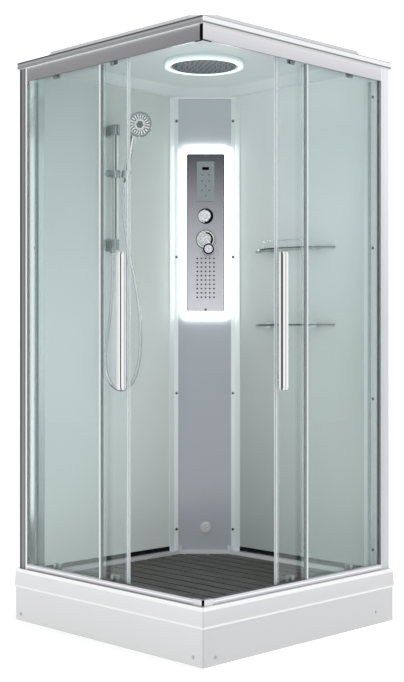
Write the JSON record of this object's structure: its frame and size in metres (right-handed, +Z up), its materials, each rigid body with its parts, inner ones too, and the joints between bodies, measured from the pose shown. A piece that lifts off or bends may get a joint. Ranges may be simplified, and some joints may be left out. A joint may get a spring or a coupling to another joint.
{
  "type": "shower cabin",
  "caption": "Square corner-entry shower cabin: tray with slatted floor, sliding glass doors, glass back walls, diagonal shower column, rain head, hand shower, shelves and a closed roof.",
  "frame": {"origin": "middle of the square footprint, on the floor", "axes": "+Z up; the entry corner points to -X -Y, the back walls stand on +X and +Y"},
  "size_m": [1, 1, 2.15],
  "materials": {
    "white_acrylic": "gloss",
    "frame_steel": "galvanised",
    "waste_plastic": "matte",
    "dark_boards": "satin",
    "light_aluminium": "satin",
    "grey_aluminium": "satin",
    "corner_plastic": "matte",
    "clear_glass": "polished",
    "dark_seal": "matte",
    "pale_seal": "satin",
    "painted_glass": "back painted",
    "white_profile": "satin",
    "dark_trim": "polished",
    "screw_steel": "satin",
    "grey_panel": "gloss",
    "chrome_parts": "polished",
    "rain_steel": "satin",
    "lit_plastic": "glowing",
    "column_steel": "brushed",
    "jet_rubber": "matte",
    "unit_plastic": "gloss",
    "key_plastic": "gloss",
    "valve_brass": "cast",
    "hose_skin": "gloss",
    "roller_plastic": "matte",
    "carrier_plastic": "matte"
  },
  "bodies": {
    "cabin": {"tray": "white_acrylic", "front_aprons": "white_acrylic", "support_frame": "frame_steel", "waste_trap": "waste_plastic", "bottom_rail_left": "light_aluminium", "bottom_rail_right": "light_aluminium", "top_rail_left": "grey_aluminium", "top_rail_right": "light_aluminium", "corner_connectors": "corner_plastic", "post_left": "grey_aluminium", "post_right": "light_aluminium", "fixed_glass_left": "clear_glass", "fixed_glass_right": "clear_glass", "fixed_glass_seals": "dark_seal", "wall_panel_left": "painted_glass", "wall_panel_right": "painted_glass", "wall_profiles": "white_profile", "wall_foot_trims": "dark_trim", "screw_caps": "screw_steel", "centre_panel": "grey_panel", "roof_shell": "white_acrylic", "rain_feed": "chrome_parts", "light_strips": "lit_plastic", "column_plate": "column_steel", "body_jets": "jet_rubber", "control_unit": "unit_plastic", "mixer_body": "valve_brass", "foot_jet": "chrome_parts", "riser_rail": "chrome_parts", "shelf_glasses": "clear_glass", "shelf_fittings": "chrome_parts", "shower_hose": "hose_skin"},
    "grid": {"floor_grid": "dark_boards"},
    "rain": {"rain_head": "rain_steel"},
    "door_left": {"door_glass_left": "clear_glass", "door_seals_left": "pale_seal", "door_handle_left": "chrome_parts", "door_carriers_left": "carrier_plastic"},
    "door_right": {"door_glass_right": "clear_glass", "door_seals_right": "pale_seal", "door_handle_right": "chrome_parts", "door_carriers_right": "carrier_plastic"},
    "flow": {"flow_knob": "chrome_parts"},
    "mixer_turn": {"mixer_cap": "chrome_parts"},
    "mixer_lift": {"mixer_lever": "chrome_parts"},
    "slider": {"riser_slider": "chrome_parts"},
    "clamp": {"clamp_knob": "carrier_plastic"},
    "handset": {"hand_shower": "chrome_parts"},
    "key_1_body": {"key_1": "key_plastic"},
    "key_2_body": {"key_2": "key_plastic"},
    "key_3_body": {"key_3": "key_plastic"},
    "key_4_body": {"key_4": "key_plastic"},
    "key_5_body": {"key_5": "key_plastic"},
    "key_6_body": {"key_6": "key_plastic"},
    "key_7_body": {"key_7": "key_plastic"},
    "key_8_body": {"key_8": "key_plastic"},
    "roller_left_front": {"wheel_left_front": "roller_plastic"},
    "roller_left_back": {"wheel_left_back": "roller_plastic"},
    "roller_right_front": {"wheel_right_front": "roller_plastic"},
    "roller_right_back": {"wheel_right_back": "roller_plastic"}
  },
  "joints": [
    {"name": "door_left_slide", "type": "slide", "parent": "cabin", "child": "door_left", "axis": [0, -1, 0], "range_m": [0, 0.3506]},
    {"name": "door_right_slide", "type": "slide", "parent": "cabin", "child": "door_right", "axis": [-1, 0, 0], "range_m": [-0.012, 0.3386]},
    {"name": "grid_lift", "type": "slide", "parent": "cabin", "child": "grid", "axis": [0, 0, 1], "range_m": [0, 0.08]},
    {"name": "rain_head_tilt", "type": "hinge", "parent": "cabin", "child": "rain", "pos_m": [0, 0, 2.081], "axis": [0.7071, -0.7071, 0], "range_deg": [-6, 6]},
    {"name": "flow_turn", "type": "hinge", "parent": "cabin", "child": "flow", "pos_m": [0.33894, 0.33328, 1.55], "axis": [-0.7071, -0.7071, 0], "range_deg": [-90, 90]},
    {"name": "mixer_temperature", "type": "hinge", "parent": "cabin", "child": "mixer_turn", "pos_m": [0.33894, 0.33328, 1.454], "axis": [-0.7071, -0.7071, 0], "range_deg": [-61, 29]},
    {"name": "mixer_flow", "type": "hinge", "parent": "mixer_turn", "child": "mixer_lift", "pos_m": [0.31985, 0.31419, 1.454], "axis": [-0.6797, 0.6797, -0.2756], "range_deg": [0, 25]},
    {"name": "slider_height", "type": "slide", "parent": "cabin", "child": "slider", "axis": [0, 0, 1], "range_m": [-0.237, 0.11], "deforming": ["shower_hose"]},
    {"name": "clamp_turn", "type": "hinge", "parent": "slider", "child": "clamp", "pos_m": [-0.107, 0.417, 1.689], "axis": [1, 0, 0], "range_deg": [0, 120]},
    {"name": "handset_lift", "type": "slide", "parent": "slider", "child": "handset", "axis": [0, -0.225, 0.9744], "range_m": [0, 0.04]},
    {"name": "key_1_press", "type": "slide", "parent": "cabin", "child": "key_1_body", "axis": [0.7071, 0.7071, 0], "range_m": [0, 0.0008], "stiffness_N_per_m": 200, "springref_m": -0.002},
    {"name": "key_2_press", "type": "slide", "parent": "cabin", "child": "key_2_body", "axis": [0.7071, 0.7071, 0], "range_m": [0, 0.0008], "stiffness_N_per_m": 200, "springref_m": -0.002},
    {"name": "key_3_press", "type": "slide", "parent": "cabin", "child": "key_3_body", "axis": [0.7071, 0.7071, 0], "range_m": [0, 0.0008], "stiffness_N_per_m": 200, "springref_m": -0.002},
    {"name": "key_4_press", "type": "slide", "parent": "cabin", "child": "key_4_body", "axis": [0.7071, 0.7071, 0], "range_m": [0, 0.0008], "stiffness_N_per_m": 200, "springref_m": -0.002},
    {"name": "key_5_press", "type": "slide", "parent": "cabin", "child": "key_5_body", "axis": [0.7071, 0.7071, 0], "range_m": [0, 0.0008], "stiffness_N_per_m": 200, "springref_m": -0.002},
    {"name": "key_6_press", "type": "slide", "parent": "cabin", "child": "key_6_body", "axis": [0.7071, 0.7071, 0], "range_m": [0, 0.0008], "stiffness_N_per_m": 200, "springref_m": -0.002},
    {"name": "key_7_press", "type": "slide", "parent": "cabin", "child": "key_7_body", "axis": [0.7071, 0.7071, 0], "range_m": [0, 0.0008], "stiffness_N_per_m": 200, "springref_m": -0.002},
    {"name": "key_8_press", "type": "slide", "parent": "cabin", "child": "key_8_body", "axis": [0.7071, 0.7071, 0], "range_m": [0, 0.0008], "stiffness_N_per_m": 200, "springref_m": -0.002},
    {"name": "roller_left_front_spin", "type": "hinge", "parent": "door_left", "child": "roller_left_front", "pos_m": [-0.4485, -0.019, 2.02106], "axis": [1, 0, 0], "continuous": true},
    {"name": "roller_left_back_spin", "type": "hinge", "parent": "door_left", "child": "roller_left_back", "pos_m": [-0.4485, 0.3, 2.02106], "axis": [1, 0, 0], "continuous": true},
    {"name": "roller_right_front_spin", "type": "hinge", "parent": "door_right", "child": "roller_right_front", "pos_m": [-0.031, -0.4485, 2.02106], "axis": [0, -1, 0], "continuous": true},
    {"name": "roller_right_back_spin", "type": "hinge", "parent": "door_right", "child": "roller_right_back", "pos_m": [0.288, -0.4485, 2.02106], "axis": [0, -1, 0], "continuous": true}
  ],
  "couplings": [
    {"joint": "roller_left_front_spin", "follows": "door_left_slide", "rad_per_m": 76.923},
    {"joint": "roller_left_back_spin", "follows": "door_left_slide", "rad_per_m": 76.923},
    {"joint": "roller_right_front_spin", "follows": "door_right_slide", "rad_per_m": 76.923},
    {"joint": "roller_right_back_spin", "follows": "door_right_slide", "rad_per_m": 76.923}
  ]
}
